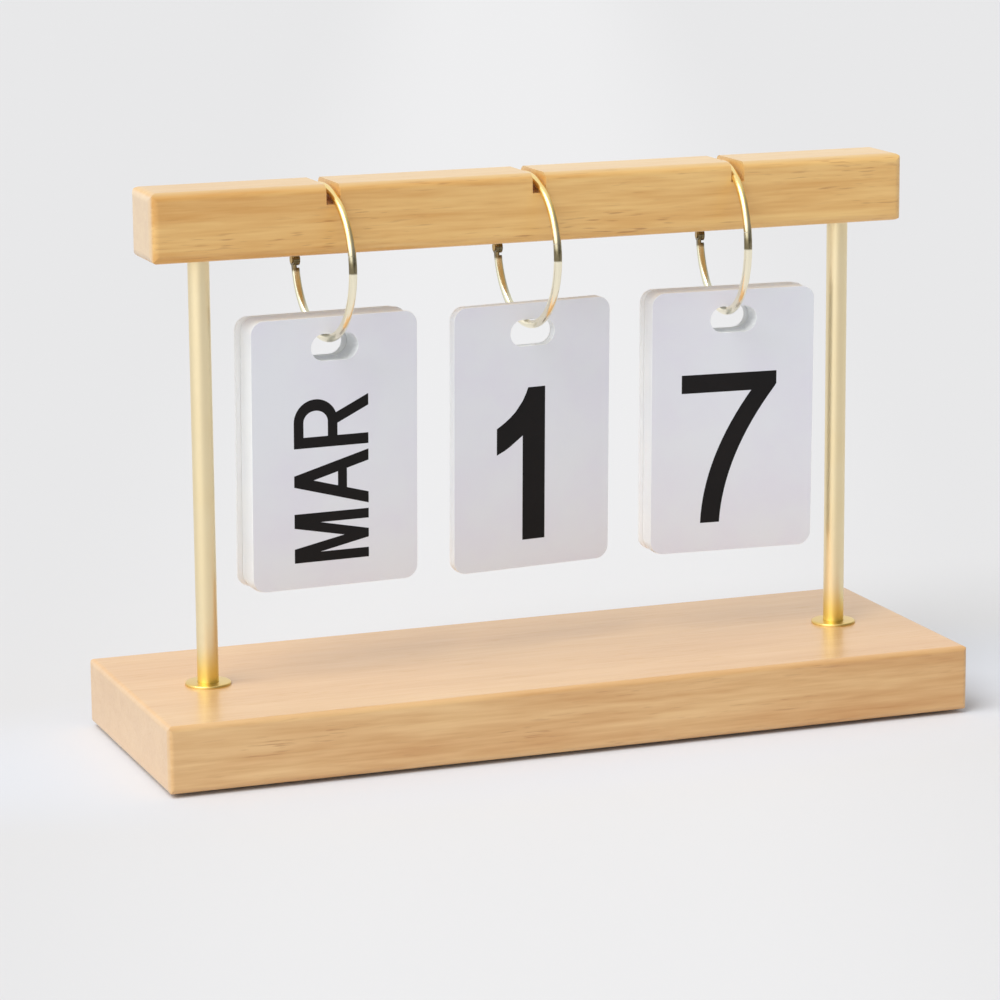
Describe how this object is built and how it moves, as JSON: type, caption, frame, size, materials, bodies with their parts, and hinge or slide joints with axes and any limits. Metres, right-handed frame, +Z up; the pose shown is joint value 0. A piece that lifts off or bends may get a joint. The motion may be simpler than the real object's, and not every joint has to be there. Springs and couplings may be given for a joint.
{
  "type": "perpetual desk calendar",
  "caption": "Wooden plinth and beam on metal posts; binder rings in the beam's kerfs carry packs of month and number cards that flip to show the date.",
  "frame": {"origin": "on the surface that the calendar stands on, below the middle of the plinth", "axes": "+X along the beam to the right as the reader sees it, +Y to the back, +Z up"},
  "size_m": [0.24, 0.083, 0.16],
  "materials": {
    "wood": "pale straight-grained hardwood, thin satin lacquer",
    "felt": "thin dark non-slip foam pad",
    "brass": "satin, pale gold, drawn lengthwise",
    "ring_brass": "bright pale gold plating on round wire",
    "steel": "zinc plated",
    "card": "smooth coated white card, printed black"
  },
  "bodies": {
    "stand": {"base": "wood", "pad_front_left": "felt", "pad_front_right": "felt", "pad_back_left": "felt", "pad_back_right": "felt", "post_left": "brass", "post_right": "brass", "flange_left": "brass", "flange_right": "brass", "base_screw_left": "steel", "base_screw_right": "steel", "beam": "wood"},
    "month_ring_top": {"ring_month_upper": "ring_brass", "ring_month_rivet": "ring_brass"},
    "month_ring_bottom": {"ring_month_lower": "ring_brass"},
    "card_mar": {"card_mar": "card"},
    "card_apr": {"card_apr": "card"},
    "card_may": {"card_may": "card"},
    "card_jun": {"card_jun": "card"},
    "card_jul": {"card_jul": "card"},
    "card_aug": {"card_aug": "card"},
    "card_feb": {"card_feb": "card"},
    "card_jan": {"card_jan": "card"},
    "card_dec": {"card_dec": "card"},
    "card_nov": {"card_nov": "card"},
    "card_oct": {"card_oct": "card"},
    "card_sep": {"card_sep": "card"},
    "tens_ring_top": {"ring_tens_upper": "ring_brass", "ring_tens_rivet": "ring_brass"},
    "tens_ring_bottom": {"ring_tens_lower": "ring_brass"},
    "card_tens_1": {"card_tens_1": "card"},
    "card_tens_2": {"card_tens_2": "card"},
    "card_tens_0": {"card_tens_0": "card"},
    "card_tens_3": {"card_tens_3": "card"},
    "units_ring_top": {"ring_units_upper": "ring_brass", "ring_units_rivet": "ring_brass"},
    "units_ring_bottom": {"ring_units_lower": "ring_brass"},
    "card_units_7": {"card_units_7": "card"},
    "card_units_8": {"card_units_8": "card"},
    "card_units_9": {"card_units_9": "card"},
    "card_units_0": {"card_units_0": "card"},
    "card_units_1": {"card_units_1": "card"},
    "card_units_6": {"card_units_6": "card"},
    "card_units_5": {"card_units_5": "card"},
    "card_units_4": {"card_units_4": "card"},
    "card_units_3": {"card_units_3": "card"},
    "card_units_2": {"card_units_2": "card"}
  },
  "joints": [
    {"name": "month_ring_turn", "type": "hinge", "parent": "stand", "child": "month_ring_top", "pos_m": [-0.0605, 0, 0.1372], "axis": [0.9969, 0.0785, 0], "range_deg": [-25, 25]},
    {"name": "month_ring_open", "type": "hinge", "parent": "month_ring_top", "child": "month_ring_bottom", "pos_m": [-0.06215, 0.02099, 0.13517], "axis": [0.9969, 0.0785, 0], "range_deg": [0, 60]},
    {"name": "mar_flip_forward", "type": "hinge", "parent": "month_ring_bottom", "child": "card_mar", "pos_m": [-0.0605, 0, 0.1372], "axis": [-0.9969, -0.0785, 0], "range_deg": [0, 65]},
    {"name": "apr_flip_forward", "type": "hinge", "parent": "month_ring_bottom", "child": "card_apr", "pos_m": [-0.0605, 0, 0.1372], "axis": [-0.9969, -0.0785, 0], "range_deg": [0, 54.17]},
    {"name": "may_flip_forward", "type": "hinge", "parent": "month_ring_bottom", "child": "card_may", "pos_m": [-0.0605, 0, 0.1372], "axis": [-0.9969, -0.0785, 0], "range_deg": [0, 43.33]},
    {"name": "jun_flip_forward", "type": "hinge", "parent": "month_ring_bottom", "child": "card_jun", "pos_m": [-0.0605, 0, 0.1372], "axis": [-0.9969, -0.0785, 0], "range_deg": [0, 32.5]},
    {"name": "jul_flip_forward", "type": "hinge", "parent": "month_ring_bottom", "child": "card_jul", "pos_m": [-0.0605, 0, 0.1372], "axis": [-0.9969, -0.0785, 0], "range_deg": [0, 21.67]},
    {"name": "aug_flip_forward", "type": "hinge", "parent": "month_ring_bottom", "child": "card_aug", "pos_m": [-0.0605, 0, 0.1372], "axis": [-0.9969, -0.0785, 0], "range_deg": [0, 10.83]},
    {"name": "feb_flip_back", "type": "hinge", "parent": "month_ring_bottom", "child": "card_feb", "pos_m": [-0.0605, 0, 0.1372], "axis": [0.9969, 0.0785, 0], "range_deg": [0, 65]},
    {"name": "jan_flip_back", "type": "hinge", "parent": "month_ring_bottom", "child": "card_jan", "pos_m": [-0.0605, 0, 0.1372], "axis": [0.9969, 0.0785, 0], "range_deg": [0, 54.17]},
    {"name": "dec_flip_back", "type": "hinge", "parent": "month_ring_bottom", "child": "card_dec", "pos_m": [-0.0605, 0, 0.1372], "axis": [0.9969, 0.0785, 0], "range_deg": [0, 43.33]},
    {"name": "nov_flip_back", "type": "hinge", "parent": "month_ring_bottom", "child": "card_nov", "pos_m": [-0.0605, 0, 0.1372], "axis": [0.9969, 0.0785, 0], "range_deg": [0, 32.5]},
    {"name": "oct_flip_back", "type": "hinge", "parent": "month_ring_bottom", "child": "card_oct", "pos_m": [-0.0605, 0, 0.1372], "axis": [0.9969, 0.0785, 0], "range_deg": [0, 21.67]},
    {"name": "sep_flip_back", "type": "hinge", "parent": "month_ring_bottom", "child": "card_sep", "pos_m": [-0.0605, 0, 0.1372], "axis": [0.9969, 0.0785, 0], "range_deg": [0, 10.83]},
    {"name": "tens_ring_turn", "type": "hinge", "parent": "stand", "child": "tens_ring_top", "pos_m": [0, 0, 0.1372], "axis": [0.9986, 0.0523, 0], "range_deg": [-25, 25]},
    {"name": "tens_ring_open", "type": "hinge", "parent": "tens_ring_top", "child": "tens_ring_bottom", "pos_m": [-0.0011, 0.02102, 0.13517], "axis": [0.9986, 0.0523, 0], "range_deg": [0, 60]},
    {"name": "tens_1_flip_forward", "type": "hinge", "parent": "tens_ring_bottom", "child": "card_tens_1", "pos_m": [0, 0, 0.1372], "axis": [-0.9986, -0.0523, 0], "range_deg": [0, 65]},
    {"name": "tens_2_flip_forward", "type": "hinge", "parent": "tens_ring_bottom", "child": "card_tens_2", "pos_m": [0, 0, 0.1372], "axis": [-0.9986, -0.0523, 0], "range_deg": [0, 32.5]},
    {"name": "tens_0_flip_back", "type": "hinge", "parent": "tens_ring_bottom", "child": "card_tens_0", "pos_m": [0, 0, 0.1372], "axis": [0.9986, 0.0523, 0], "range_deg": [0, 65]},
    {"name": "tens_3_flip_back", "type": "hinge", "parent": "tens_ring_bottom", "child": "card_tens_3", "pos_m": [0, 0, 0.1372], "axis": [0.9986, 0.0523, 0], "range_deg": [0, 32.5]},
    {"name": "units_ring_turn", "type": "hinge", "parent": "stand", "child": "units_ring_top", "pos_m": [0.0605, 0, 0.1372], "axis": [0.9969, -0.0785, 0], "range_deg": [-25, 25]},
    {"name": "units_ring_open", "type": "hinge", "parent": "units_ring_top", "child": "units_ring_bottom", "pos_m": [0.06215, 0.02099, 0.13517], "axis": [0.9969, -0.0785, 0], "range_deg": [0, 60]},
    {"name": "units_7_flip_forward", "type": "hinge", "parent": "units_ring_bottom", "child": "card_units_7", "pos_m": [0.0605, 0, 0.1372], "axis": [-0.9969, 0.0785, 0], "range_deg": [0, 65]},
    {"name": "units_8_flip_forward", "type": "hinge", "parent": "units_ring_bottom", "child": "card_units_8", "pos_m": [0.0605, 0, 0.1372], "axis": [-0.9969, 0.0785, 0], "range_deg": [0, 52]},
    {"name": "units_9_flip_forward", "type": "hinge", "parent": "units_ring_bottom", "child": "card_units_9", "pos_m": [0.0605, 0, 0.1372], "axis": [-0.9969, 0.0785, 0], "range_deg": [0, 39]},
    {"name": "units_0_flip_forward", "type": "hinge", "parent": "units_ring_bottom", "child": "card_units_0", "pos_m": [0.0605, 0, 0.1372], "axis": [-0.9969, 0.0785, 0], "range_deg": [0, 26]},
    {"name": "units_1_flip_forward", "type": "hinge", "parent": "units_ring_bottom", "child": "card_units_1", "pos_m": [0.0605, 0, 0.1372], "axis": [-0.9969, 0.0785, 0], "range_deg": [0, 13]},
    {"name": "units_6_flip_back", "type": "hinge", "parent": "units_ring_bottom", "child": "card_units_6", "pos_m": [0.0605, 0, 0.1372], "axis": [0.9969, -0.0785, 0], "range_deg": [0, 65]},
    {"name": "units_5_flip_back", "type": "hinge", "parent": "units_ring_bottom", "child": "card_units_5", "pos_m": [0.0605, 0, 0.1372], "axis": [0.9969, -0.0785, 0], "range_deg": [0, 52]},
    {"name": "units_4_flip_back", "type": "hinge", "parent": "units_ring_bottom", "child": "card_units_4", "pos_m": [0.0605, 0, 0.1372], "axis": [0.9969, -0.0785, 0], "range_deg": [0, 39]},
    {"name": "units_3_flip_back", "type": "hinge", "parent": "units_ring_bottom", "child": "card_units_3", "pos_m": [0.0605, 0, 0.1372], "axis": [0.9969, -0.0785, 0], "range_deg": [0, 26]},
    {"name": "units_2_flip_back", "type": "hinge", "parent": "units_ring_bottom", "child": "card_units_2", "pos_m": [0.0605, 0, 0.1372], "axis": [0.9969, -0.0785, 0], "range_deg": [0, 13]}
  ],
  "couplings": [
    {"joint": "apr_flip_forward", "follows": "mar_flip_forward", "ratio": 0.83333},
    {"joint": "may_flip_forward", "follows": "mar_flip_forward", "ratio": 0.66667},
    {"joint": "jun_flip_forward", "follows": "mar_flip_forward", "ratio": 0.5},
    {"joint": "jul_flip_forward", "follows": "mar_flip_forward", "ratio": 0.33333},
    {"joint": "aug_flip_forward", "follows": "mar_flip_forward", "ratio": 0.16667},
    {"joint": "jan_flip_back", "follows": "feb_flip_back", "ratio": 0.83333},
    {"joint": "dec_flip_back", "follows": "feb_flip_back", "ratio": 0.66667},
    {"joint": "nov_flip_back", "follows": "feb_flip_back", "ratio": 0.5},
    {"joint": "oct_flip_back", "follows": "feb_flip_back", "ratio": 0.33333},
    {"joint": "sep_flip_back", "follows": "feb_flip_back", "ratio": 0.16667},
    {"joint": "tens_2_flip_forward", "follows": "tens_1_flip_forward", "ratio": 0.5},
    {"joint": "tens_3_flip_back", "follows": "tens_0_flip_back", "ratio": 0.5},
    {"joint": "units_8_flip_forward", "follows": "units_7_flip_forward", "ratio": 0.8},
    {"joint": "units_9_flip_forward", "follows": "units_7_flip_forward", "ratio": 0.6},
    {"joint": "units_0_flip_forward", "follows": "units_7_flip_forward", "ratio": 0.4},
    {"joint": "units_1_flip_forward", "follows": "units_7_flip_forward", "ratio": 0.2},
    {"joint": "units_5_flip_back", "follows": "units_6_flip_back", "ratio": 0.8},
    {"joint": "units_4_flip_back", "follows": "units_6_flip_back", "ratio": 0.6},
    {"joint": "units_3_flip_back", "follows": "units_6_flip_back", "ratio": 0.4},
    {"joint": "units_2_flip_back", "follows": "units_6_flip_back", "ratio": 0.2}
  ]
}
